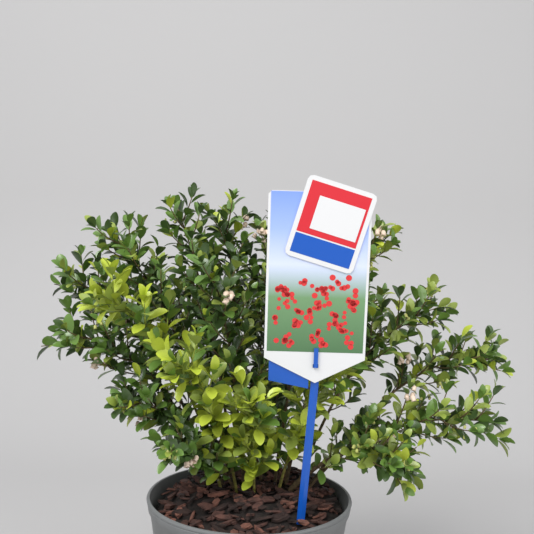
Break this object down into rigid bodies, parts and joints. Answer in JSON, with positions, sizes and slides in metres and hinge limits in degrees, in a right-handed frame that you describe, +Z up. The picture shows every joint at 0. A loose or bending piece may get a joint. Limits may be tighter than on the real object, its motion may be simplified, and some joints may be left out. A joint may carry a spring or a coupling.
{
  "type": "potted lingonberry shrub",
  "caption": "Compact evergreen lingonberry shrub with small leathery leaves, growing in a round nursery pot with bark mulch and a blank plant label on a stick.",
  "frame": {"origin": "centre of the pot's flat underside", "axes": "+Z up, -Y towards the front, where the plant label stands, +X to the viewer's right"},
  "size_m": [0.438, 0.2701, 0.4409],
  "materials": {
    "pot_plastic": "matte",
    "bark_mulch": "matte",
    "stem_bark": "matte",
    "leaf_green": "satin",
    "leaf_lime": "satin",
    "label_blue": "satin",
    "label_white": "satin"
  },
  "bodies": {
    "root": {"pot": "pot_plastic", "soil": "bark_mulch", "label_stick": "label_blue", "label_back_card": "label_blue", "label_card": "label_white", "label_front_card": "label_white", "stem_left_arch": "stem_bark", "leaves_left_arch": "leaf_green", "stem_left_upper": "stem_bark", "leaves_left_upper": "leaf_green", "stem_left_crest": "stem_bark", "leaves_left_crest": "leaf_green", "stem_top_left": "stem_bark", "leaves_top_left": "leaf_green", "stem_top_middle": "stem_bark", "leaves_top_middle": "leaf_green", "stem_top_centre": "stem_bark", "leaves_top_centre": "leaf_green", "stem_top_right": "stem_bark", "leaves_top_right": "leaf_green", "stem_right_crest": "stem_bark", "leaves_right_crest": "leaf_green", "stem_right_upper": "stem_bark", "leaves_right_upper": "leaf_green", "stem_right_arch": "stem_bark", "leaves_right_arch": "leaf_green", "stem_right_middle": "stem_bark", "leaves_right_middle": "leaf_green", "stem_right_low": "stem_bark", "leaves_right_low": "leaf_green", "stem_left_low": "stem_bark", "leaves_left_low": "leaf_green", "stem_left_front": "stem_bark", "leaves_left_front": "leaf_lime", "stem_front_left": "stem_bark", "leaves_front_left": "leaf_lime", "stem_front_middle": "stem_bark", "leaves_front_middle": "leaf_lime", "stem_front_right": "stem_bark", "leaves_front_right": "leaf_lime", "stem_centre_left": "stem_bark", "leaves_centre_left": "leaf_green", "stem_low_left": "stem_bark", "leaves_low_left": "leaf_green", "stem_back_left": "stem_bark", "leaves_back_left": "leaf_green", "stem_back_middle": "stem_bark", "leaves_back_middle": "leaf_green", "stem_back_right": "stem_bark", "leaves_back_right": "leaf_green", "stem_back_low": "stem_bark", "leaves_back_low": "leaf_green"}
  },
  "joints": []
}
